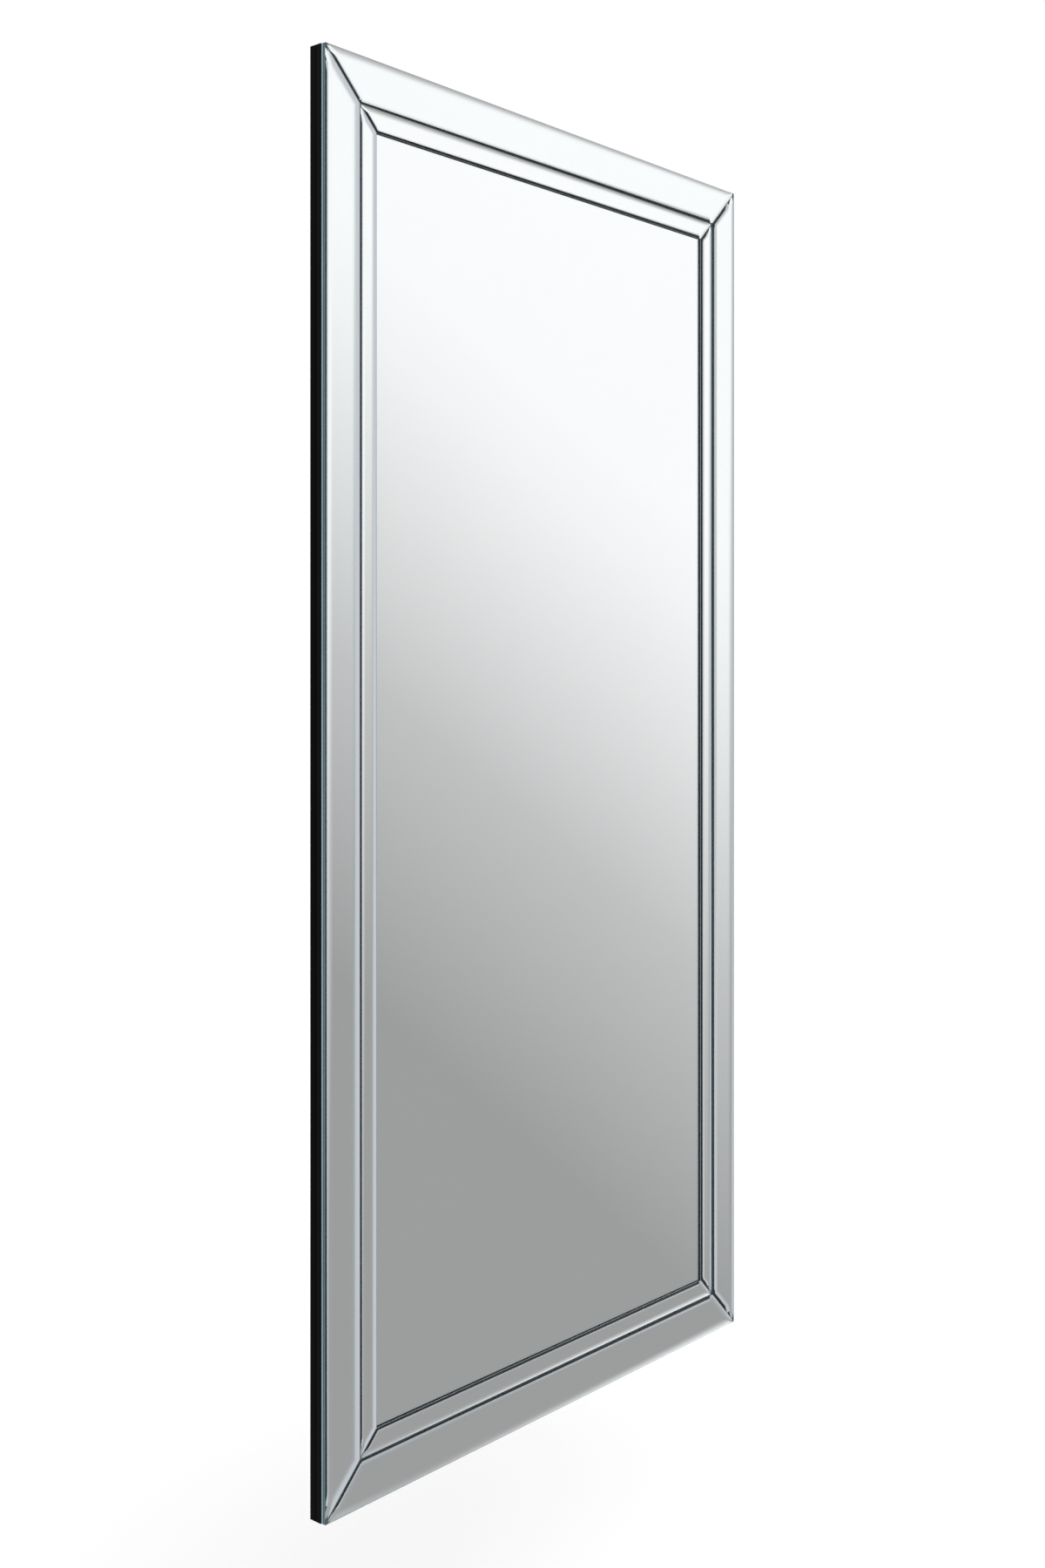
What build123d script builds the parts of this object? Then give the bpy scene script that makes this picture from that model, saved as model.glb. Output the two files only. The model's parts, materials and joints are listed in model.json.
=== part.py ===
from build123d import *
import math
import os

# Full-length wall mirror: one large mirror sheet bonded to a black board, with two rings of
# bevelled mirror strips laid on the sheet as its frame. The board hangs on D-rings.
# Millimetres. The front faces -Y, +Z is up, X = 0 is the middle, Z = 0 is the bottom edge
# and Y = 0 is half of the whole depth, wall pads included.

# Outline
overall_width = 850.0
overall_height = 1740.0

# Depths of the layers, from the wall to the front
pad_height = 7.0
batten_depth = 12.0
panel_thickness = 6.0
sheet_bond = 1.0
sheet_glass = 3.0
strip_bond = 0.3
outer_strip_glass = 5.0
inner_strip_glass = 3.0

# Mirror sheet and strips, seen from the front
glass_setback = 0.5
outer_strip_width = 57.0
inner_strip_width = 28.0
strip_gap = 0.5
outer_bevel_depth = 1.8
inner_bevel_depth = 1.6
outer_bevel_width = 10.0
inner_bevel_width = 7.5

# Adhesive under the glass
bead_width = 15.0
bead_pitch = 125.0
bead_margin = 45.0
tape_margin = 8.0

# Battens on the back of the panel
batten_width = 64.0
cross_batten_count = 2

# Countersunk screws that hold the battens to the panel
batten_screw_radius = 1.75
batten_screw_head_radius = 3.5
batten_screw_head_depth = 2.0
batten_screw_length = 16.0
batten_screw_pitch = 260.0
batten_screw_end_margin = 30.0
screw_clearance = 0.05
recess_width = 1.0
recess_span = 3.6
recess_depth = 1.0

# Strap of a D-ring hanger, folded double around the ring's bar
strap_width = 18.0
strap_thickness = 1.2
strap_length = 34.0
strap_bend = 2.5
strap_end_radius = 4.0
strap_hole_distances = (12.0, 26.0)
hanger_screw_radius = 1.75
hanger_screw_head_radius = 3.5
hanger_screw_head_height = 2.0
hanger_screw_head_round = 0.8
hanger_screw_length = 12.0

# D-ring
ring_wire_radius = 1.75
ring_inner_width = 22.0
ring_inner_height = 20.0
ring_corner_radius = 3.5
ring_clearance = 0.1

# Places of the hangers on the side battens
portrait_hanger_drop = 220.0
landscape_hanger_inset = 400.0
landscape_ring_margin = 4.0
hanger_free_span = 45.0

# Rubber wall pads
pad_radius = 10.0
pad_edge = 1.5
pad_inset = 60.0

# Planes of the layers along Y, with the wall at the back
glass_depth = sheet_bond + sheet_glass + strip_bond + outer_strip_glass
wall_y = (pad_height + batten_depth + panel_thickness + glass_depth) / 2
batten_back_y = wall_y - pad_height
panel_back_y = batten_back_y - batten_depth
panel_front_y = panel_back_y - panel_thickness
sheet_back_y = panel_front_y - sheet_bond
sheet_front_y = sheet_back_y - sheet_glass
strip_back_y = sheet_front_y - strip_bond

# Distances of the strips from the board's outline
outer_strip_end = glass_setback + outer_strip_width
inner_strip_start = outer_strip_end + strip_gap
inner_strip_end = inner_strip_start + inner_strip_width

# Middle lines of the side battens, and the inner faces of all four battens
half_width = overall_width / 2
side_batten_x = half_width - batten_width / 2
side_batten_inner_x = half_width - batten_width
top_batten_low_z = overall_height - batten_width

# The ring's centre line: half its width, its bow's highest point, and its bar
ring_half_width = ring_inner_width / 2 + ring_wire_radius
ring_reach = ring_inner_height + 2 * ring_wire_radius
ring_bar_half = ring_half_width - ring_corner_radius
loop_bore_radius = ring_wire_radius + ring_clearance
loop_radius = loop_bore_radius + strap_thickness
folded_thickness = 2 * strap_thickness


def box_between(low, high):
    """A box between two opposite corners."""
    middle = [(a + b) / 2 for a, b in zip(low, high)]
    size = [b - a for a, b in zip(low, high)]
    return Pos(*middle) * Box(*size)


def flat_outline(points, y):
    """A flat face that joins (x, z) corners at one depth."""
    return make_face(Polyline(*[(x, y, z) for x, z in points], close=True))


def slab(points, back_y, thickness):
    """A flat piece that stands out from back_y towards the viewer."""
    return extrude(flat_outline(points, back_y), amount=thickness, dir=(0, -1, 0))


def inset_points(points, distance):
    """The corners of a convex outline, counter-clockwise, with every side moved inwards."""
    moved = []
    for i, (x, z) in enumerate(points):
        before_x, before_z = points[i - 1]
        after_x, after_z = points[(i + 1) % len(points)]
        first = Vector(z - before_z, before_x - x).normalized()
        second = Vector(after_z - z, x - after_x).normalized()
        shift = -(first + second) * (distance / (1 + first.dot(second)))
        moved.append((x + shift.X, z + shift.Y))
    return moved


def mitred_outlines(start, end):
    """The four mitred bars of a frame whose sides lie between two distances from the outline."""
    far_x, near_x = half_width - start, half_width - end
    low, high = start, end
    top_low, top_high = overall_height - end, overall_height - start
    cut = strip_gap / 2 * math.sqrt(2)
    return {
        "top": [(-near_x + cut, top_low), (near_x - cut, top_low),
                (far_x - cut, top_high), (-far_x + cut, top_high)],
        "bottom": [(-far_x + cut, low), (far_x - cut, low),
                   (near_x - cut, high), (-near_x + cut, high)],
        "left": [(-far_x, low + cut), (-near_x, high + cut),
                 (-near_x, top_low - cut), (-far_x, top_high - cut)],
        "right": [(near_x, high + cut), (far_x, low + cut),
                  (far_x, top_high - cut), (near_x, top_low - cut)],
    }


def bevelled_strip(points, glass, bevel_depth, bevel_width):
    """A strip of mirror glass with a flat bevel ground along all four sides."""
    front_y = strip_back_y - glass
    rim_y = front_y + bevel_depth
    levels = [
        [(x, strip_back_y, z) for x, z in points],
        [(x, rim_y, z) for x, z in points],
        [(x, front_y, z) for x, z in inset_points(points, bevel_width)],
    ]
    outlines = [levels[0], levels[-1]]
    for lower, upper in zip(levels, levels[1:]):
        for i in range(len(points)):
            outlines.append([lower[i - 1], lower[i], upper[i], upper[i - 1]])
    return Solid(Shell([Face(Wire.make_polygon(outline)) for outline in outlines]))


def spaced(low, high, pitch):
    """Places from low to high at equal steps of at most pitch."""
    steps = max(1, math.ceil((high - low) / pitch))
    return [low + (high - low) * i / steps for i in range(steps + 1)]


def recess(top):
    """The cross that a screwdriver turns, cut down from a height."""
    arm = Box(recess_span, recess_width, recess_depth, align=(Align.CENTER, Align.CENTER, Align.MAX))
    return Pos(0, 0, top) * (arm + Rot(0, 0, 90) * arm)


def countersunk_shape(clearance):
    """A countersunk screw that points down from the origin, or its hole where there is a clearance."""
    shank = Cylinder(batten_screw_radius + clearance, batten_screw_length,
                     align=(Align.CENTER, Align.CENTER, Align.MAX))
    head = Cone(batten_screw_radius + clearance, batten_screw_head_radius + clearance,
                batten_screw_head_depth, align=(Align.CENTER, Align.CENTER, Align.MAX))
    return shank + head


def pan_head_screw():
    """A pan-head screw whose head stands on the origin's plane."""
    head = Cylinder(hanger_screw_head_radius, hanger_screw_head_height,
                    align=(Align.CENTER, Align.CENTER, Align.MIN))
    head = fillet(head.edges().sort_by(Axis.Z)[-1], hanger_screw_head_round)
    shank = Cylinder(hanger_screw_radius, hanger_screw_length,
                     align=(Align.CENTER, Align.CENTER, Align.MAX))
    return head + shank - recess(hanger_screw_head_height)


# A tool axis that points into the back of the mirror: local +Z becomes +Y
into_back = Rot(-90, 0, 0)


def hanger_strap():
    """The folded strap, with its loop's axis on X at the origin and its legs below it."""
    # Drawn with local X out from the wall side and local Y up, then extruded along its width
    centre = (loop_radius, 0)
    leg_top = -loop_radius - strap_bend / 2
    leg_height = strap_length + leg_top
    legs = Pos(strap_thickness, leg_top - leg_height / 2) * Rectangle(folded_thickness, leg_height)
    throat = Pos(strap_thickness, leg_top) * Rectangle(folded_thickness, strap_bend)
    loop = Pos(*centre) * Circle(loop_radius)
    profile = legs + make_hull((throat + loop).edges())
    profile -= Pos(*centre) * Circle(loop_bore_radius)
    strap = extrude(profile, amount=strap_width / 2, both=True)
    tail = strap.edges().filter_by(Axis.X).group_by(Axis.Y)[0]
    strap = fillet(tail, strap_end_radius)
    for distance in strap_hole_distances:
        hole = Rot(0, 90, 0) * Cylinder(hanger_screw_radius + screw_clearance, 2 * loop_radius)
        strap -= Pos(folded_thickness / 2, -distance, 0) * hole
    # Local X, the way out of the back, becomes +Y, and local Y becomes +Z
    return Plane((0, 0, 0), x_dir=(0, 1, 0), z_dir=(1, 0, 0)).location * strap


def ring():
    """The D-ring, upright, with its bar's axis on X at the origin."""
    rise = ring_reach - ring_half_width
    middle = ring_corner_radius * (1 - math.sqrt(0.5))
    right, left = ring_half_width, -ring_half_width
    path = [
        Edge.make_line((-ring_bar_half, 0, 0), (ring_bar_half, 0, 0)),
        Edge.make_three_point_arc((ring_bar_half, 0, 0), (right - middle, 0, middle),
                                  (right, 0, ring_corner_radius)),
        Edge.make_line((right, 0, ring_corner_radius), (right, 0, rise)),
        Edge.make_three_point_arc((right, 0, rise), (0, 0, ring_reach), (left, 0, rise)),
        Edge.make_line((left, 0, rise), (left, 0, ring_corner_radius)),
        Edge.make_three_point_arc((left, 0, ring_corner_radius), (left + middle, 0, middle),
                                  (-ring_bar_half, 0, 0)),
    ]
    wire_section = Plane((0, 0, 0), z_dir=(1, 0, 0)) * Circle(ring_wire_radius)
    return Pos(0, loop_radius, 0) * sweep(Pos(-ring_bar_half, 0, 0) * wire_section, Wire(path))


# Where each hanger's bar lies: the ring points up on a portrait hanger and sideways, to the
# mirror's right-hand edge, on a landscape hanger
landscape_x = half_width - landscape_ring_margin - ring_reach - ring_wire_radius
portrait_z = overall_height - portrait_hanger_drop
hanger_places = {
    "portrait_left": Location((-side_batten_x, batten_back_y, portrait_z)),
    "portrait_right": Location((side_batten_x, batten_back_y, portrait_z)),
    "landscape_upper": Location((landscape_x, batten_back_y, overall_height - landscape_hanger_inset),
                                (0, 90, 0)),
    "landscape_lower": Location((landscape_x, batten_back_y, landscape_hanger_inset), (0, 90, 0)),
}
hanger_screw_places = [
    place * Pos(0, folded_thickness, -distance) * into_back
    for place in hanger_places.values() for distance in strap_hole_distances
]

# Battens: two side battens at full height, the top, bottom and cross battens between them
cross_step = (top_batten_low_z - batten_width) / (cross_batten_count + 1)
cross_z = [batten_width + cross_step * (i + 1) for i in range(cross_batten_count)]
batten_boxes = {
    "side_batten_left": (-half_width, -side_batten_inner_x, 0, overall_height),
    "side_batten_right": (side_batten_inner_x, half_width, 0, overall_height),
    "bottom_batten": (-side_batten_inner_x, side_batten_inner_x, 0, batten_width),
    "top_batten": (-side_batten_inner_x, side_batten_inner_x, top_batten_low_z, overall_height),
}
for number, middle_z in enumerate(cross_z, start=1):
    batten_boxes[f"cross_batten_{number}"] = (
        -side_batten_inner_x, side_batten_inner_x,
        middle_z - batten_width / 2, middle_z + batten_width / 2)

# Stretches of a side batten that hold its screws: below, between and above the hangers
stretch_ends = [batten_screw_end_margin]
for z in (landscape_hanger_inset, overall_height - landscape_hanger_inset, portrait_z):
    stretch_ends += [z - hanger_free_span, z + hanger_free_span]
stretch_ends.append(overall_height - batten_screw_end_margin)
side_screw_z = []
for low, high in zip(stretch_ends[::2], stretch_ends[1::2]):
    side_screw_z += spaced(low, high, batten_screw_pitch)

# Countersunk screws along the middle line of each batten
batten_screw_points = []
for low_x, high_x, low_z, high_z in batten_boxes.values():
    if high_z - low_z > high_x - low_x:
        batten_screw_points += [((low_x + high_x) / 2, z) for z in side_screw_z]
    else:
        across = spaced(low_x + batten_screw_end_margin, high_x - batten_screw_end_margin,
                        batten_screw_pitch)
        batten_screw_points += [(x, (low_z + high_z) / 2) for x in across]
batten_screw_places = [Pos(x, batten_back_y, z) * into_back for x, z in batten_screw_points]

# Board: the panel and its battens, with the holes of every screw that enters them
batten_holes = [place * countersunk_shape(screw_clearance) for place in batten_screw_places]
pilot = Cylinder(hanger_screw_radius + screw_clearance, hanger_screw_length,
                 align=(Align.CENTER, Align.CENTER, Align.MAX))
pilot_holes = [place * pilot for place in hanger_screw_places]
panel_blank = box_between((-half_width, panel_front_y, 0), (half_width, panel_back_y, overall_height))
parts = {"front_panel": panel_blank - batten_holes}
for name, (low_x, high_x, low_z, high_z) in batten_boxes.items():
    batten = box_between((low_x, panel_back_y, low_z), (high_x, batten_back_y, high_z))
    parts[name] = batten - batten_holes - pilot_holes
parts["batten_screws"] = Compound(children=[
    place * (countersunk_shape(0) - recess(0)) for place in batten_screw_places])

# Mirror sheet, and the upright beads of adhesive that hold it to the panel
sheet_corners = inset_points([(-half_width, 0), (half_width, 0), (half_width, overall_height),
                              (-half_width, overall_height)], glass_setback)
parts["mirror_sheet"] = slab(sheet_corners, sheet_back_y, sheet_glass)
bead_x = spaced(-half_width + bead_margin, half_width - bead_margin, bead_pitch)
parts["sheet_adhesive_beads"] = Compound(children=[
    box_between((x - bead_width / 2, sheet_back_y, bead_margin),
                (x + bead_width / 2, panel_front_y, overall_height - bead_margin))
    for x in bead_x])

# The two rings of bevelled strips, and the tape under each strip
frames = {
    "outer": (mitred_outlines(glass_setback, outer_strip_end),
              outer_strip_glass, outer_bevel_depth, outer_bevel_width),
    "inner": (mitred_outlines(inner_strip_start, inner_strip_end),
              inner_strip_glass, inner_bevel_depth, inner_bevel_width),
}
for ring_name, (outlines, *strip_sizes) in frames.items():
    for side, corners in outlines.items():
        parts[f"{ring_name}_strip_{side}"] = bevelled_strip(corners, *strip_sizes)
    parts[f"{ring_name}_strip_tapes"] = Compound(children=[
        slab(inset_points(corners, tape_margin), sheet_front_y, strip_bond)
        for corners in outlines.values()])

# D-ring hangers
for name, place in hanger_places.items():
    parts[f"hanger_strap_{name}"] = place * hanger_strap()
    parts[f"hanger_ring_{name}"] = place * ring()
parts["hanger_screws"] = Compound(children=[place * pan_head_screw() for place in hanger_screw_places])

# Rubber pads that keep the mirror off the wall
pad = Cone(pad_radius, pad_radius - pad_edge, pad_height, align=(Align.CENTER, Align.CENTER, Align.MIN))
for side, x in (("left", -side_batten_x), ("right", side_batten_x)):
    for level, z in (("lower", pad_inset), ("upper", overall_height - pad_inset)):
        parts[f"wall_pad_{level}_{side}"] = Pos(x, batten_back_y, z) * into_back * pad

os.makedirs("parts", exist_ok=True)
for name, shape in parts.items():
    export_step(shape, f"parts/{name}.step")
print(len(parts), "nodes written")
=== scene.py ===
import bpy
import bmesh
import json
import math
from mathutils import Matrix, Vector

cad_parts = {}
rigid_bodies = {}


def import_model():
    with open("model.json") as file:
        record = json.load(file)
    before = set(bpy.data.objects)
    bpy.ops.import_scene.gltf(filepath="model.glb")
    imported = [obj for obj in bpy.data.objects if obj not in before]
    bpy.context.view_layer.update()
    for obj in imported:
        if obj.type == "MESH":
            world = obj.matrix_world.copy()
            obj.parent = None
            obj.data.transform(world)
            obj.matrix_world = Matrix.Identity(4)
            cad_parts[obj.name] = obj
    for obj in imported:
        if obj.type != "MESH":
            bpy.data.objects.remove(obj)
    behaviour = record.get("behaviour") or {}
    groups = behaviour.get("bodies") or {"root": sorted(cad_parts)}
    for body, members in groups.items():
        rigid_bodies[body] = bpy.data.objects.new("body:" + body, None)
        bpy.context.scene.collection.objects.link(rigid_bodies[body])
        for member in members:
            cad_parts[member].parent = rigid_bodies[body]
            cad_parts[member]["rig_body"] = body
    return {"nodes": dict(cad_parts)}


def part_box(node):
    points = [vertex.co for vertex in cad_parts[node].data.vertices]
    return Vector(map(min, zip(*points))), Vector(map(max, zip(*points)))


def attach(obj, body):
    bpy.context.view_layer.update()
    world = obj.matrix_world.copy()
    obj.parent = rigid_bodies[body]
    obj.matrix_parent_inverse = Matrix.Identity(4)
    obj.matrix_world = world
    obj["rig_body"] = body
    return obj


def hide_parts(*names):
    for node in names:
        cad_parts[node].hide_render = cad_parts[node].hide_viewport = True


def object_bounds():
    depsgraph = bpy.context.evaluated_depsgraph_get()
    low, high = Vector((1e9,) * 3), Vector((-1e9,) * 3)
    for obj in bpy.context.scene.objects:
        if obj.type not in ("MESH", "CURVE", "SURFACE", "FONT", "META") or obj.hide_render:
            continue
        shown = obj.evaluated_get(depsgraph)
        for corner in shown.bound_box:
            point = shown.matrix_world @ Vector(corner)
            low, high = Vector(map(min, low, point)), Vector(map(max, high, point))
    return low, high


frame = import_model()
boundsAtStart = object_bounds()
scene = bpy.context.scene
scene.view_settings.view_transform = "Standard"
millimetre = 0.001
weldDistance = 0.001 * millimetre     # points this close together are one


# small helpers for node trees, materials and objects

def addNode(tree, kind, inputs=None, **settings):
    # a new node; each input is linked where it is given a socket, and set where it is given a value
    node = tree.nodes.new(kind)
    for name, value in settings.items():
        setattr(node, name, value)
    for key, value in (inputs or {}).items():
        if isinstance(value, bpy.types.NodeSocket):
            tree.links.new(value, node.inputs[key])
        else:
            node.inputs[key].default_value = value
    return node


def addGroupSockets(tree, direction, sockets):
    for name, kind in sockets.items():
        tree.interface.new_socket(name=name, in_out=direction, socket_type="NodeSocket" + kind)


def calculate(tree, operation, *values):
    # the result socket of one step of arithmetic, in a shader or a geometry tree
    node = addNode(tree, "ShaderNodeMath", dict(enumerate(values)), operation=operation)
    return node.outputs["Value"]


def vectorStep(tree, operation, *values, output="Vector"):
    node = addNode(tree, "ShaderNodeVectorMath", dict(enumerate(values)), operation=operation)
    return node.outputs[output]


def scaled(tree, vector, factor):
    node = addNode(tree, "ShaderNodeVectorMath", {0: vector, "Scale": factor}, operation="SCALE")
    return node.outputs["Vector"]


def mixColours(tree, factor, first, second):
    # each colour is a socket, or three numbers
    node = addNode(tree, "ShaderNodeMix", {"Factor": factor}, data_type="RGBA")
    for key, colour in (("A", first), ("B", second)):
        if isinstance(colour, bpy.types.NodeSocket):
            tree.links.new(colour, node.inputs[key])
        else:
            node.inputs[key].default_value = (*colour, 1)
    return node.outputs["Result"]


def newMaterial(name):
    material = bpy.data.materials.new(name)
    material.use_nodes = True
    material.node_tree.nodes.clear()
    return material, material.node_tree


def finishMaterial(tree, surface, volume=None):
    inputs = {"Surface": surface.outputs[0]}
    if volume:
        inputs["Volume"] = volume.outputs[0]
    addNode(tree, "ShaderNodeOutputMaterial", inputs)


def newObject(name, mesh):
    made = bpy.data.objects.new(name, mesh)
    scene.collection.objects.link(made)
    return made


def pieceName(node):
    words = node.split("_")
    return words[0] + "".join(word.capitalize() for word in words[1:])


# the camera, at the photograph's place and angle

cameraView = {
    "place": (-1.8014, -1.5204, 0.998),
    "turn": -48.945,                # degrees about Z, where minus turns from +Y towards +X
    "lens": 39.70,                  # millimetres
    "sensor": 36,                   # millimetres on the picture's long side
    "shift": (0.0004, -0.0698),     # the horizon lies above the middle of the picture
    "nearClip": 0.05,
}


def placeCamera():
    data = bpy.data.cameras.new("photoCamera")
    data.lens = cameraView["lens"]
    data.sensor_width = cameraView["sensor"]
    data.shift_x, data.shift_y = cameraView["shift"]
    data.clip_start = cameraView["nearClip"]
    camera = newObject("photoCamera", data)
    camera.location = cameraView["place"]
    camera.rotation_euler = (math.radians(90), 0, math.radians(cameraView["turn"]))
    scene.camera = camera


placeCamera()
print("camera set")


# the studio: even light, and the room with a grey card that mirrors and glass show

studio = {
    "ambient": 0.8,                       # even light on matt surfaces
    "room": (0.57, 0.6, 0.64),            # bluish grey at eye level and below
    "roomTop": (1.0, 1.0, 1.0),           # and overhead
    "roomElevations": (20, 50),           # degrees over which the room brightens
    "cardDark": 0.355,                    # the grey card that the mirror faces
    "cardBright": 1.02,
    "cardBlue": 1.01,                     # its blue against its red and green
    "cardTilt": (0.44, 0.419, 0.718),     # direction in which the card gets brighter
    # place along the tilt, and share of the way from dark to bright
    "cardRamp": ((-0.13, 0.0), (0.0, 0.31), (0.09, 0.68), (0.142, 0.88), (0.18, 0.97), (0.3, 1.0)),
    "cardAzimuths": (32, 42, 56, 64),     # degrees from -Y towards +X: fade in, full, full, fade out
    "cardElevations": (-46, -28),         # fades in between these, and has no upper end
}


def fadeBetween(tree, value, start, end):
    # from 0 at the start angle to 1 at the end angle, in degrees
    node = addNode(tree, "ShaderNodeMapRange", {
        "Value": value, "From Min": math.radians(start), "From Max": math.radians(end)},
        interpolation_type="SMOOTHSTEP")
    return node.outputs["Result"]


def cardColour(tree, direction):
    # what the mirror shows of the card is bright at the upper right and dark at the lower left
    along = vectorStep(tree, "DOT_PRODUCT", direction, studio["cardTilt"], output="Value")
    stops = studio["cardRamp"]
    first, last = stops[0][0], stops[-1][0]
    share = addNode(tree, "ShaderNodeMapRange", {"Value": along, "From Min": first, "From Max": last})
    ramp = addNode(tree, "ShaderNodeValToRGB", {"Fac": share.outputs["Result"]})
    elements = ramp.color_ramp.elements
    for i, (place, level) in enumerate(stops):
        grey = studio["cardDark"] + (studio["cardBright"] - studio["cardDark"]) * level
        at = (place - first) / (last - first)
        stop = elements[i] if i < 2 else elements.new(at)     # a new ramp has two stops already
        stop.position = at
        stop.color = (grey, grey, grey * studio["cardBlue"], 1)
    return ramp.outputs["Color"]


def buildWorld():
    world = bpy.data.worlds.new("studio")
    world.use_nodes = True
    scene.world = world
    tree = world.node_tree
    tree.nodes.clear()
    direction = addNode(tree, "ShaderNodeTexCoord").outputs["Generated"]
    axes = addNode(tree, "ShaderNodeSeparateXYZ", {0: direction}).outputs
    azimuth = calculate(tree, "ARCTAN2", axes["X"], calculate(tree, "MULTIPLY", axes["Y"], -1))
    elevation = calculate(tree, "ARCSINE", axes["Z"])
    height = fadeBetween(tree, elevation, *studio["roomElevations"])
    room = mixColours(tree, height, studio["room"], studio["roomTop"])
    fadeIn, full, fullEnd, fadeOut = studio["cardAzimuths"]
    sides = calculate(tree, "MINIMUM", fadeBetween(tree, azimuth, fadeIn, full),
                      fadeBetween(tree, azimuth, fadeOut, fullEnd))
    window = calculate(tree, "MULTIPLY", sides, fadeBetween(tree, elevation, *studio["cardElevations"]))
    seen = mixColours(tree, window, room, cardColour(tree, direction))

    # mirrors and glass see the room, the camera sees white, and everything else gets even light
    path = addNode(tree, "ShaderNodeLightPath").outputs
    mirrored = calculate(tree, "MAXIMUM", path["Is Glossy Ray"], path["Is Transmission Ray"])
    lit = mixColours(tree, mirrored, (studio["ambient"],) * 3, seen)
    shown = mixColours(tree, path["Is Camera Ray"], lit, (1, 1, 1))
    background = addNode(tree, "ShaderNodeBackground", {"Color": shown, "Strength": 1.0})
    addNode(tree, "ShaderNodeOutputWorld", {"Surface": background.outputs[0]})


buildWorld()
print("room and card set")


# broad soft lamps at a plain level; mirrors and glass show the room in place of them
studioLamps = {
    "frontSoftbox": {"place": (-2.5, -3.0, 3.0), "size": (2.5, 2.0), "power": 60},
    "backSoftbox": {"place": (2.0, 3.5, 3.0), "size": (3.0, 2.0), "power": 90},
}


def hangLamp(name, lamp):
    light = bpy.data.lights.new(name, "AREA")
    light.shape = "RECTANGLE"
    light.size, light.size_y = lamp["size"]
    light.energy = lamp["power"]
    softbox = newObject(name, light)
    softbox.location = lamp["place"]
    middle = Vector((0, 0, boundsAtStart[1].z / 2))
    softbox.rotation_euler = (middle - softbox.location).to_track_quat("-Z", "Y").to_euler()
    softbox.visible_glossy = False
    softbox.visible_transmission = False


for name, lamp in studioLamps.items():
    hangLamp(name, lamp)
print("studio lamps set")


# one group makes every finish uneven, and each material places it with its own values

unevenness = {
    "patchRange": (0.3, 0.7),     # broad noise between which one colour turns into the other
    "roughestAt": 0.7,            # patches times fine noise at which a finish is roughest
    "broadDetail": 3.0,
    "fineDetail": 5.0,
    "bumpHeight": 0.1 * millimetre,
}


def buildUnevenFinish():
    tree = bpy.data.node_groups.new("unevenFinish", "ShaderNodeTree")
    addGroupSockets(tree, "INPUT", {
        "Colour": "Color", "Second Colour": "Color", "Stretch": "Vector", "Scale": "Float",
        "Fine Scale": "Float", "Rough Low": "Float", "Rough High": "Float"})
    addGroupSockets(tree, "OUTPUT", {"Colour": "Color", "Roughness": "Float", "Height": "Float"})
    given = addNode(tree, "NodeGroupInput").outputs
    place = addNode(tree, "ShaderNodeTexCoord").outputs["Object"]
    along = vectorStep(tree, "MULTIPLY", place, given["Stretch"])
    broad = addNode(tree, "ShaderNodeTexNoise", {
        "Vector": along, "Scale": given["Scale"], "Detail": unevenness["broadDetail"]})
    fine = addNode(tree, "ShaderNodeTexNoise", {
        "Vector": along, "Scale": given["Fine Scale"], "Detail": unevenness["fineDetail"]})
    low, high = unevenness["patchRange"]
    patches = addNode(tree, "ShaderNodeMapRange", {
        "Value": broad.outputs["Fac"], "From Min": low, "From Max": high}).outputs["Result"]
    colour = mixColours(tree, patches, given["Colour"], given["Second Colour"])
    rough = addNode(tree, "ShaderNodeMapRange", {
        "Value": calculate(tree, "MULTIPLY", patches, fine.outputs["Fac"]), "From Min": 0.0,
        "From Max": unevenness["roughestAt"], "To Min": given["Rough Low"], "To Max": given["Rough High"]})
    addNode(tree, "NodeGroupOutput", {
        "Colour": colour, "Roughness": rough.outputs["Result"], "Height": fine.outputs["Fac"]})
    return tree


unevenFinish = buildUnevenFinish()


def unevenNode(tree, finish):
    low, high = finish["roughness"]
    node = addNode(tree, "ShaderNodeGroup", node_tree=unevenFinish)
    for name, value in {
        "Colour": (*finish["colour"], 1), "Second Colour": (*finish["secondColour"], 1),
        "Stretch": finish.get("stretch", (1, 1, 1)), "Scale": finish["scale"],
        "Fine Scale": finish["fineScale"], "Rough Low": low, "Rough High": high,
    }.items():
        node.inputs[name].default_value = value
    return node.outputs


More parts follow.
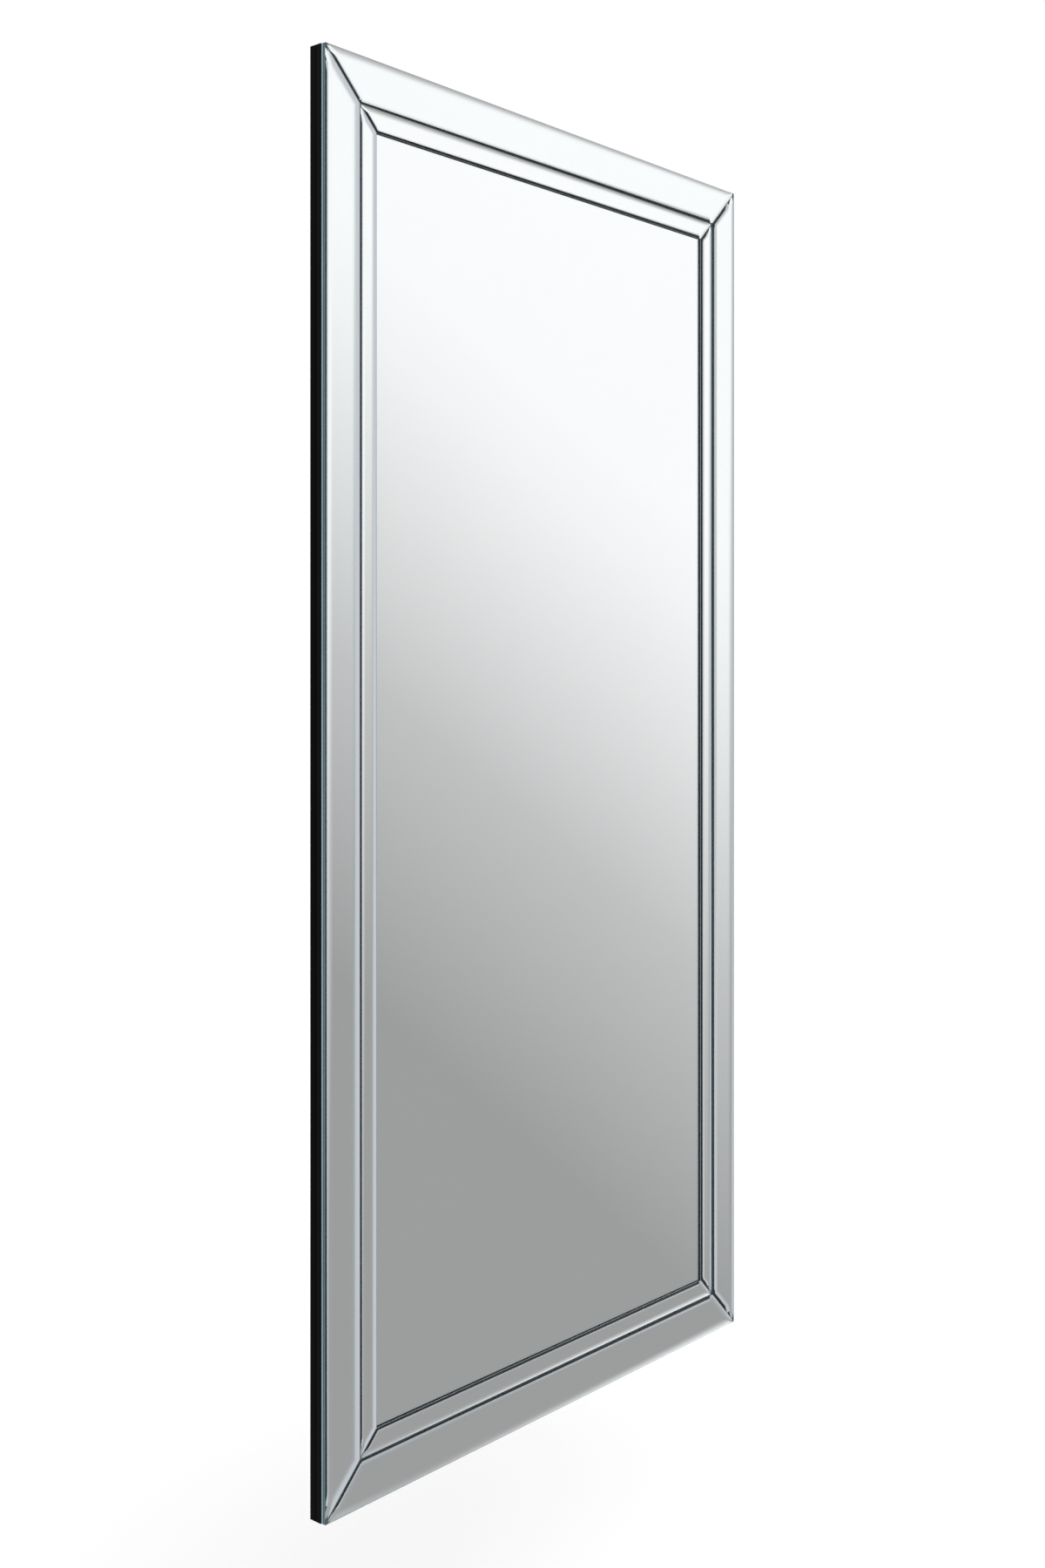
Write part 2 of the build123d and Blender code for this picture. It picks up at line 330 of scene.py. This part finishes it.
# clear float glass: colourless through its face, blue-green through its length
glassFinish = {
    "colour": (0.985, 0.993, 0.99), "secondColour": (0.99, 0.998, 0.995),
    "scale": 3.0, "fineScale": 40.0, "roughness": (0.0, 0.0),
    "index": 1.52, "depthColour": (0.6, 0.92, 0.9), "depthDensity": 5.0,
}
opaqueFinishes = {
    # the glass edges: dark and ground on the wide strips, paler on the sheet and the narrow strips
    "groundEdge": {
        "colour": (0.062, 0.13, 0.15), "secondColour": (0.095, 0.17, 0.19), "stretch": (1, 1, 0.15),
        "scale": 30.0, "fineScale": 900.0, "roughness": (0.25, 0.5), "bump": 0.05, "specular": 0.5},
    "sawnEdge": {
        "colour": (0.2, 0.3, 0.33), "secondColour": (0.3, 0.4, 0.44), "stretch": (1, 1, 0.15),
        "scale": 30.0, "fineScale": 900.0, "roughness": (0.3, 0.55), "bump": 0.05, "specular": 0.5},
    "polishedEdge": {
        "colour": (0.2, 0.28, 0.3), "secondColour": (0.28, 0.36, 0.38), "stretch": (1, 1, 0.15),
        "scale": 30.0, "fineScale": 900.0, "roughness": (0.15, 0.3), "bump": 0.03, "specular": 0.5},
    # the coats on the back of the glass
    "silvering": {
        "colour": (0.965, 0.965, 0.965), "secondColour": (0.975, 0.975, 0.975),
        "scale": 2.0, "fineScale": 40.0, "roughness": (0.0, 0.0), "metallic": 1.0},
    "backPaint": {
        "colour": (0.006, 0.006, 0.007), "secondColour": (0.012, 0.012, 0.013),
        "scale": 20.0, "fineScale": 300.0, "roughness": (0.5, 0.7), "bump": 0.05, "specular": 0.1},
    # the board: lacquered battens, and a panel that is only dyed
    "blackLacquer": {
        "colour": (0.0014, 0.0014, 0.0015), "secondColour": (0.0026, 0.0026, 0.0028),
        "scale": 8.0, "fineScale": 700.0, "roughness": (0.45, 0.65), "bump": 0.12, "specular": 0.03},
    "dyedBoard": {
        "colour": (0.003, 0.003, 0.0031), "secondColour": (0.0055, 0.0055, 0.0056),
        "scale": 14.0, "fineScale": 900.0, "roughness": (0.6, 0.8), "bump": 0.15, "specular": 0.05},
    "blackAdhesive": {
        "colour": (0.008, 0.008, 0.008), "secondColour": (0.013, 0.013, 0.013),
        "scale": 60.0, "fineScale": 900.0, "roughness": (0.5, 0.8), "bump": 0.3, "specular": 0.3},
    "blackRubber": {
        "colour": (0.012, 0.012, 0.012), "secondColour": (0.02, 0.02, 0.021),
        "scale": 90.0, "fineScale": 2200.0, "roughness": (0.7, 0.9), "bump": 0.35, "specular": 0.35},
    # the hangers and their screws
    "brightZinc": {
        "colour": (0.56, 0.57, 0.58), "secondColour": (0.66, 0.67, 0.67), "stretch": (1, 1, 0.12),
        "scale": 220.0, "fineScale": 3500.0, "roughness": (0.22, 0.42), "bump": 0.08, "metallic": 1.0},
    "screwZinc": {
        "colour": (0.48, 0.48, 0.46), "secondColour": (0.6, 0.59, 0.56),
        "scale": 400.0, "fineScale": 4000.0, "roughness": (0.25, 0.45), "bump": 0.08, "metallic": 1.0},
}


def glassMaterial():
    material, tree = newMaterial("clearGlass")
    shader = addNode(tree, "ShaderNodeBsdfPrincipled", {
        "Base Color": unevenNode(tree, glassFinish)["Colour"], "Roughness": 0.0,
        "IOR": glassFinish["index"], "Transmission Weight": 1.0, "Metallic": 0.0})
    depth = addNode(tree, "ShaderNodeVolumeAbsorption", {
        "Color": (*glassFinish["depthColour"], 1), "Density": glassFinish["depthDensity"]})
    finishMaterial(tree, shader, depth)
    return material


def opaqueMaterial(name, finish):
    material, tree = newMaterial(name)
    uneven = unevenNode(tree, finish)
    shader = addNode(tree, "ShaderNodeBsdfPrincipled", {
        "Base Color": uneven["Colour"], "Roughness": uneven["Roughness"],
        "Metallic": finish.get("metallic", 0.0), "Specular IOR Level": finish.get("specular", 0.5)})
    if "bump" in finish:
        bump = addNode(tree, "ShaderNodeBump", {
            "Height": uneven["Height"], "Strength": finish["bump"], "Distance": unevenness["bumpHeight"]})
        tree.links.new(bump.outputs["Normal"], shader.inputs["Normal"])
    finishMaterial(tree, shader)
    return material


clearGlass = glassMaterial()
finishes = {name: opaqueMaterial(name, finish) for name, finish in opaqueFinishes.items()}
print("materials made")


# one geometry tree makes every pane, from its four corners: the strips and the sheet

cornerCount = 4
columnCount = cornerCount + 1     # the first corner comes again at the end, which closes the ring
depthAxis = (0, 1, 0)


def sampledAt(tree, geometry, value, index):
    node = addNode(tree, "GeometryNodeSampleIndex", {
        "Geometry": geometry, "Value": value, "Index": index}, data_type="FLOAT_VECTOR", domain="POINT")
    return node.outputs["Value"]


def raised(tree, height):
    # the move to the front by a height
    return addNode(tree, "ShaderNodeCombineXYZ", {"Y": calculate(tree, "MULTIPLY", height, -1)}).outputs[0]


def faced(tree, geometry, material, selection=True):
    node = addNode(tree, "GeometryNodeSetMaterial", {
        "Geometry": geometry, "Selection": selection, "Material": material})
    return node.outputs["Geometry"]


def inwardField(tree):
    node = addNode(tree, "GeometryNodeInputNamedAttribute", {"Name": "inward"}, data_type="FLOAT_VECTOR")
    return node.outputs["Attribute"]


def withInwardWays(tree, outline):
    # at each corner, the way that moves both of its sides inwards by the same distance
    index = addNode(tree, "GeometryNodeInputIndex").outputs["Index"]
    position = addNode(tree, "GeometryNodeInputPosition").outputs["Position"]

    def cornerFurtherOn(steps):
        other = calculate(tree, "MODULO", calculate(tree, "ADD", index, steps), cornerCount)
        return sampledAt(tree, outline, position, other)

    before = vectorStep(tree, "SUBTRACT", position, cornerFurtherOn(cornerCount - 1))
    after = vectorStep(tree, "SUBTRACT", cornerFurtherOn(1), position)
    normals = [vectorStep(tree, "CROSS_PRODUCT", vectorStep(tree, "NORMALIZE", side), depthAxis)
               for side in (before, after)]
    spread = calculate(tree, "ADD", vectorStep(tree, "DOT_PRODUCT", *normals, output="Value"), 1)
    inward = scaled(tree, vectorStep(tree, "ADD", *normals), calculate(tree, "DIVIDE", 1, spread))
    stored = addNode(tree, "GeometryNodeStoreNamedAttribute", {
        "Geometry": outline, "Name": "inward", "Value": inward}, data_type="FLOAT_VECTOR", domain="POINT")
    return stored.outputs["Geometry"]


def bevelledSides(tree, given, corners, glassBack):
    # rings of corners on a grid: the back edge first, then the rim, then the bevel up to the flat
    index = addNode(tree, "GeometryNodeInputIndex").outputs["Index"]
    position = addNode(tree, "GeometryNodeInputPosition").outputs["Position"]
    halfStep = 0.5     # keeps the rounding down safe
    grid = addNode(tree, "GeometryNodeMeshGrid", {
        "Size X": 1.0, "Size Y": 1.0, "Vertices X": calculate(tree, "ADD", given["Bevel Steps"], 2),
        "Vertices Y": columnCount})
    ring = calculate(tree, "FLOOR", calculate(
        tree, "DIVIDE", calculate(tree, "ADD", index, halfStep), columnCount))
    column = calculate(tree, "MODULO", index, columnCount)
    corner = calculate(tree, "MODULO", column, cornerCount)

    # the climb goes from 0 at the rim to 1 at the flat, and the crown rounds the bevel on its way
    climb = calculate(tree, "MAXIMUM", calculate(
        tree, "DIVIDE", calculate(tree, "SUBTRACT", ring, 1), given["Bevel Steps"]), 0)
    drop = calculate(tree, "MULTIPLY", calculate(
        tree, "POWER", calculate(tree, "SUBTRACT", 1, climb), given["Crown"]), given["Bevel Depth"])
    surface = calculate(tree, "SUBTRACT", given["Thickness"], drop)
    height = calculate(tree, "MULTIPLY_ADD", calculate(tree, "MINIMUM", ring, 1),
                       calculate(tree, "SUBTRACT", surface, glassBack), glassBack)
    inset = scaled(tree, sampledAt(tree, corners, inwardField(tree), corner),
                   calculate(tree, "MULTIPLY", climb, given["Bevel Width"]))
    atCorner = sampledAt(tree, corners, position, corner)
    place = vectorStep(tree, "ADD", vectorStep(tree, "ADD", atCorner, inset), raised(tree, height))
    sides = addNode(tree, "GeometryNodeSetPosition", {"Geometry": grid.outputs["Mesh"], "Position": place})
    sides = addNode(tree, "GeometryNodeFlipFaces", {"Mesh": sides.outputs["Geometry"]}).outputs["Mesh"]
    isEdge = calculate(tree, "LESS_THAN", index, cornerCount)
    sides = faced(tree, faced(tree, sides, given["Glass"]), given["Edge"], isEdge)
    sides = addNode(tree, "GeometryNodeSetShadeSmooth", {
        "Geometry": sides, "Shade Smooth": calculate(tree, "SUBTRACT", 1, isEdge)},
        domain="FACE").outputs["Geometry"]
    return withSharpCorners(tree, sides, column)


def withSharpCorners(tree, sides, column):
    # an edge that runs up one column is a corner of the pane, and isn't shaded round
    ends = addNode(tree, "GeometryNodeInputMeshEdgeVertices").outputs
    sameWithin = 0.1

    def columnAt(vertex):
        node = addNode(tree, "GeometryNodeFieldAtIndex", {"Value": column, "Index": vertex},
                       data_type="FLOAT", domain="POINT")
        return node.outputs["Value"]

    isCorner = calculate(tree, "COMPARE", columnAt(ends["Vertex Index 1"]),
                         columnAt(ends["Vertex Index 2"]), sameWithin)
    return addNode(tree, "GeometryNodeSetShadeSmooth", {
        "Geometry": sides, "Selection": isCorner, "Shade Smooth": False},
        domain="EDGE").outputs["Geometry"]


def flatFace(tree, corners, move, material, facingBack=False):
    face = addNode(tree, "GeometryNodeSetPosition", {"Geometry": corners, "Offset": move}).outputs["Geometry"]
    if facingBack:
        face = addNode(tree, "GeometryNodeFlipFaces", {"Mesh": face}).outputs["Mesh"]
    return faced(tree, face, material)


def buildPaneTree():
    tree = bpy.data.node_groups.new("bevelledPane", "GeometryNodeTree")
    addGroupSockets(tree, "INPUT", {
        "Outline": "Geometry", "Thickness": "Float", "Bevel Width": "Float", "Bevel Depth": "Float",
        "Crown": "Float", "Bevel Steps": "Int", "Paint Thickness": "Float", "Coat Gap": "Float",
        "Glass": "Material", "Edge": "Material", "Silver": "Material", "Paint": "Material"})
    addGroupSockets(tree, "OUTPUT", {"Pane": "Geometry"})
    given = addNode(tree, "NodeGroupInput").outputs
    corners = withInwardWays(tree, given["Outline"])
    glassBack = calculate(tree, "ADD", given["Paint Thickness"], given["Coat Gap"])
    sides = bevelledSides(tree, given, corners, glassBack)
    toFront = vectorStep(tree, "ADD", scaled(tree, inwardField(tree), given["Bevel Width"]),
                         raised(tree, given["Thickness"]))
    front = flatFace(tree, corners, toFront, given["Glass"])
    silver = flatFace(tree, corners, raised(tree, glassBack), given["Silver"], facingBack=True)

    # the paint is a thin slab of its own behind the silver
    paint = addNode(tree, "GeometryNodeExtrudeMesh", {
        "Mesh": corners, "Offset": (0, -1, 0), "Offset Scale": given["Paint Thickness"],
        "Individual": False}, mode="FACES").outputs["Mesh"]
    paint = faced(tree, paint, given["Paint"])
    paintBack = flatFace(tree, corners, (0, 0, 0), given["Paint"], facingBack=True)

    joined = addNode(tree, "GeometryNodeJoinGeometry")
    for part in (sides, front, silver, paint, paintBack):
        tree.links.new(part, joined.inputs["Geometry"])
    welded = addNode(tree, "GeometryNodeMergeByDistance", {
        "Geometry": joined.outputs["Geometry"], "Distance": weldDistance})
    real = addNode(tree, "GeometryNodeRealizeInstances", {"Geometry": welded.outputs["Geometry"]})
    addNode(tree, "NodeGroupOutput", {"Pane": real.outputs["Geometry"]})
    return tree


def meshFromTree(name, mesh, tree, values):
    # runs a geometry tree on a mesh and keeps the result as a plain mesh
    holder = newObject(name + "Source", mesh)
    modifier = holder.modifiers.new("shape", "NODES")
    modifier.node_group = tree
    identifiers = {item.name: item.identifier for item in tree.interface.items_tree
                   if item.item_type == "SOCKET" and item.in_out == "INPUT"}
    for key, value in values.items():
        modifier[identifiers[key]] = value
    depsgraph = bpy.context.evaluated_depsgraph_get()
    made = bpy.data.meshes.new_from_object(
        holder.evaluated_get(depsgraph), preserve_all_data_layers=True, depsgraph=depsgraph)
    holder.modifiers.remove(modifier)
    bpy.data.objects.remove(holder)
    made.name = name
    return newObject(name, made)


paneTree = buildPaneTree()
paneStock = {
    "Paint Thickness": 0.12 * millimetre,
    "Coat Gap": 0.01 * millimetre,
    "Glass": clearGlass,
    "Silver": finishes["silvering"],
    "Paint": finishes["backPaint"],
}
# a crown of 1 leaves a bevel flat, and 2 rounds it
paneShapes = {
    "outer": {"Bevel Width": 10 * millimetre, "Bevel Depth": 1.8 * millimetre, "Crown": 2.0,
              "Bevel Steps": 8, "Edge": finishes["groundEdge"]},
    "inner": {"Bevel Width": 7.5 * millimetre, "Bevel Depth": 1.6 * millimetre, "Crown": 2.0,
              "Bevel Steps": 8, "Edge": finishes["polishedEdge"]},
    "sheet": {"Bevel Width": 0.4 * millimetre, "Bevel Depth": 0.4 * millimetre, "Crown": 1.0,
              "Bevel Steps": 1, "Edge": finishes["sawnEdge"]},
}


def paneCorners(low, high, side):
    # counter-clockwise from the front, with 45 degree ends on the strips
    cut = min(high.x - low.x, high.z - low.z)
    corners = {
        "left": [(low.x, low.z), (high.x, low.z + cut), (high.x, high.z - cut), (low.x, high.z)],
        "right": [(low.x, low.z + cut), (high.x, low.z), (high.x, high.z), (low.x, high.z - cut)],
        "bottom": [(low.x, low.z), (high.x, low.z), (high.x - cut, high.z), (low.x + cut, high.z)],
        "top": [(low.x + cut, low.z), (high.x - cut, low.z), (high.x, high.z), (low.x, high.z)],
        "all": [(low.x, low.z), (high.x, low.z), (high.x, high.z), (low.x, high.z)],
    }
    return corners[side]


def makePane(name, node, side, shape):
    low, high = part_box(node)
    outline = bpy.data.meshes.new(name + "Outline")
    points = [(x, high.y, z) for x, z in paneCorners(low, high, side)]
    outline.from_pydata(points, [], [tuple(range(cornerCount))])
    pane = meshFromTree(name, outline, paneTree, {**paneStock, **shape, "Thickness": high.y - low.y})
    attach(pane, "mirror")
    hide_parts(node)


for ringName in ("outer", "inner"):
    for side in ("top", "bottom", "left", "right"):
        node = f"{ringName}_strip_{side}"
        makePane(pieceName(node), node, side, paneShapes[ringName])
makePane("mirrorSheet", "mirror_sheet", "all", paneShapes["sheet"])
print("panes made")


# the board, hangers, pads and screws are the CAD shapes with their sharp edges taken off

edgeWork = {
    "flatWithin": 0.2,        # degrees within which neighbouring faces become one
    "roundedFrom": 50,        # degrees from which an edge is rounded
    "segments": 2,
    "shadedSharpFrom": 35,    # degrees from which an edge is shaded sharp
}


def mergedForm(node):
    # the CAD node's loose triangles welded, with its flat faces whole
    form = bmesh.new()
    form.from_mesh(frame["nodes"][node].data)
    bmesh.ops.remove_doubles(form, verts=form.verts, dist=weldDistance)
    bmesh.ops.dissolve_limit(form, angle_limit=math.radians(edgeWork["flatWithin"]),
                             verts=form.verts, edges=form.edges)
    return form


def meshFromForm(form, name):
    mesh = bpy.data.meshes.new(name)
    form.to_mesh(mesh)
    form.free()
    return mesh


def roundEdges(holder, radius):
    rounding = holder.modifiers.new("softEdge", "BEVEL")
    rounding.width = radius
    rounding.segments = edgeWork["segments"]
    rounding.limit_method = "ANGLE"
    rounding.angle_limit = math.radians(edgeWork["roundedFrom"])


def shadeByAngle(mesh):
    mesh.polygons.foreach_set("use_smooth", [True] * len(mesh.polygons))
    mesh.set_sharp_from_angle(angle=math.radians(edgeWork["shadedSharpFrom"]))


def softenedCopy(node, material, radius):
    holder = newObject(node + "Holder", meshFromForm(mergedForm(node), node + "Soft"))
    if radius:
        roundEdges(holder, radius)
    depsgraph = bpy.context.evaluated_depsgraph_get()
    made = bpy.data.meshes.new_from_object(holder.evaluated_get(depsgraph), depsgraph=depsgraph)
    bpy.data.objects.remove(holder)
    piece = newObject(pieceName(node), made)
    made.materials.clear()
    made.materials.append(material)
    shadeByAngle(made)
    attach(piece, frame["nodes"][node]["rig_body"])
    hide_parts(node)
    return piece


def buildScrewTree():
    # one screw at each point, each turned about its own axis by a seeded amount
    tree = bpy.data.node_groups.new("drivenScrews", "GeometryNodeTree")
    addGroupSockets(tree, "INPUT", {
        "Places": "Geometry", "Screw": "Object", "Seed": "Int", "Finish": "Material"})
    addGroupSockets(tree, "OUTPUT", {"Screws": "Geometry"})
    given = addNode(tree, "NodeGroupInput").outputs
    screw = addNode(tree, "GeometryNodeObjectInfo", {"Object": given["Screw"]}).outputs["Geometry"]
    spin = addNode(tree, "FunctionNodeRandomValue", {"Max": (0, 2 * math.pi, 0), "Seed": given["Seed"]},
                   data_type="FLOAT_VECTOR").outputs["Value"]
    turn = addNode(tree, "FunctionNodeEulerToRotation", {"Euler": spin}).outputs["Rotation"]
    placed = addNode(tree, "GeometryNodeInstanceOnPoints", {
        "Points": given["Places"], "Instance": screw, "Rotation": turn}).outputs["Instances"]
    real = addNode(tree, "GeometryNodeRealizeInstances", {"Geometry": placed}).outputs["Geometry"]
    addNode(tree, "NodeGroupOutput", {"Screws": faced(tree, real, given["Finish"])})
    return tree


def islandsOf(form):
    # the separate solids of a merged mesh, in the mesh's own order, each as a set of vertices
    found, seen = [], set()
    for start in form.verts:
        if start in seen:
            continue
        island, toVisit = set(), [start]
        while toVisit:
            vertex = toVisit.pop()
            if vertex not in island:
                island.add(vertex)
                toVisit.extend(edge.other_vert(vertex) for edge in vertex.link_edges)
        found.append(island)
        seen |= island
    return found


def middleOf(island):
    # the screws stand along Y, so their middle is taken across it
    across = [[vertex.co[axis] for vertex in island] for axis in (0, 2)]
    x, z = [(min(values) + max(values)) / 2 for values in across]
    return x, 0, z


def drivenScrews(node, radius, seed):
    # the screws of one node, all made from its first one
    form = mergedForm(node)
    islands = islandsOf(form)
    places = [middleOf(island) for island in islands]
    others = [vertex for vertex in form.verts if vertex not in islands[0]]
    bmesh.ops.delete(form, geom=others, context="VERTS")
    bmesh.ops.translate(form, verts=form.verts, vec=[-value for value in places[0]])
    screwMesh = meshFromForm(form, node + "One")
    shadeByAngle(screwMesh)
    screw = newObject(node + "One", screwMesh)
    roundEdges(screw, radius)
    points = bpy.data.meshes.new(node + "Places")
    points.from_pydata(sorted(places), [], [])
    screws = meshFromTree(pieceName(node), points, screwTree, {
        "Screw": screw, "Seed": seed, "Finish": finishes["screwZinc"]})
    bpy.data.objects.remove(screw)
    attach(screws, frame["nodes"][node]["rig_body"])
    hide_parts(node)


screwTree = buildScrewTree()
screwSets = {
    "batten_screws": {"radius": 0.06 * millimetre, "seed": 5},
    "hanger_screws": {"radius": 0.08 * millimetre, "seed": 11},
}
for name, values in screwSets.items():
    drivenScrews(name, **values)
print("screws driven")


softEdges = {
    # start of the nodes' names: finish, edge radius, slot
    "front_panel": ("dyedBoard", 0.5 * millimetre, "black_board"),
    "side_batten": ("blackLacquer", 0.5 * millimetre, "black_board"),
    "top_batten": ("blackLacquer", 0.5 * millimetre, "black_board"),
    "bottom_batten": ("blackLacquer", 0.5 * millimetre, "black_board"),
    "cross_batten": ("blackLacquer", 0.5 * millimetre, "black_board"),
    "wall_pad": ("blackRubber", 0.7 * millimetre, "black_rubber"),
    "hanger_strap": ("brightZinc", 0.12 * millimetre, "strap_steel"),
    "hanger_ring": ("brightZinc", 0.0, "ring_steel"),
}
# nodes that keep their CAD shape and only get a finish
adhesiveNodes = ("sheet_adhesive_beads", "outer_strip_tapes", "inner_strip_tapes")
for name in sorted(frame["nodes"]):
    for start, (finish, radius, slotName) in softEdges.items():
        if name.startswith(start):
            softenedCopy(name, finishes[finish], radius)
    if name in adhesiveNodes:
        mesh = frame["nodes"][name].data
        mesh.materials.clear()
        mesh.materials.append(finishes["blackAdhesive"])
print("board, hangers and pads made")


# the floor, below the hanging mirror

floorSizes = {
    "drop": 0.5,                     # metres below the mirror
    "reach": 14.0,
    "colour": (0.9, 0.9, 0.9),
    "lift": (0.03, 0.3),             # light that the near and the far floor add, so that it reads white
    "liftPlaces": (1.0, 6.0),        # metres from the middle between which that grows
}


def floorMaterial():
    material, tree = newMaterial("floorPale")
    path = addNode(tree, "ShaderNodeLightPath").outputs
    matt = addNode(tree, "ShaderNodeBsdfDiffuse", {"Color": (*floorSizes["colour"], 1)})
    mirrored = calculate(tree, "MAXIMUM", path["Is Glossy Ray"], path["Is Transmission Ray"])
    seen = calculate(tree, "MAXIMUM", path["Is Camera Ray"], mirrored)
    place = addNode(tree, "ShaderNodeTexCoord").outputs["Object"]
    (near, far), (nearLift, farLift) = floorSizes["liftPlaces"], floorSizes["lift"]
    away = addNode(tree, "ShaderNodeMapRange", {
        "Value": vectorStep(tree, "LENGTH", place, output="Value"), "From Min": near, "From Max": far,
        "To Min": nearLift, "To Max": farLift}, interpolation_type="SMOOTHSTEP")
    lift = calculate(tree, "MULTIPLY", seen, away.outputs["Result"])
    glow = addNode(tree, "ShaderNodeEmission", {"Color": (1, 1, 1, 1), "Strength": lift})
    finishMaterial(tree, addNode(tree, "ShaderNodeAddShader", {0: matt.outputs[0], 1: glow.outputs[0]}))
    return material


def layFloor():
    reach, level = floorSizes["reach"], -floorSizes["drop"]
    mesh = bpy.data.meshes.new("floor")
    mesh.from_pydata([(-reach, -reach, level), (reach, -reach, level), (reach, reach, level),
                      (-reach, reach, level)], [], [(0, 1, 2, 3)])
    mesh.materials.append(floorMaterial())
    floor = newObject("floor", mesh)
    floor.visible_glossy = False
    floor.visible_transmission = False


layFloor()
print("floor laid")
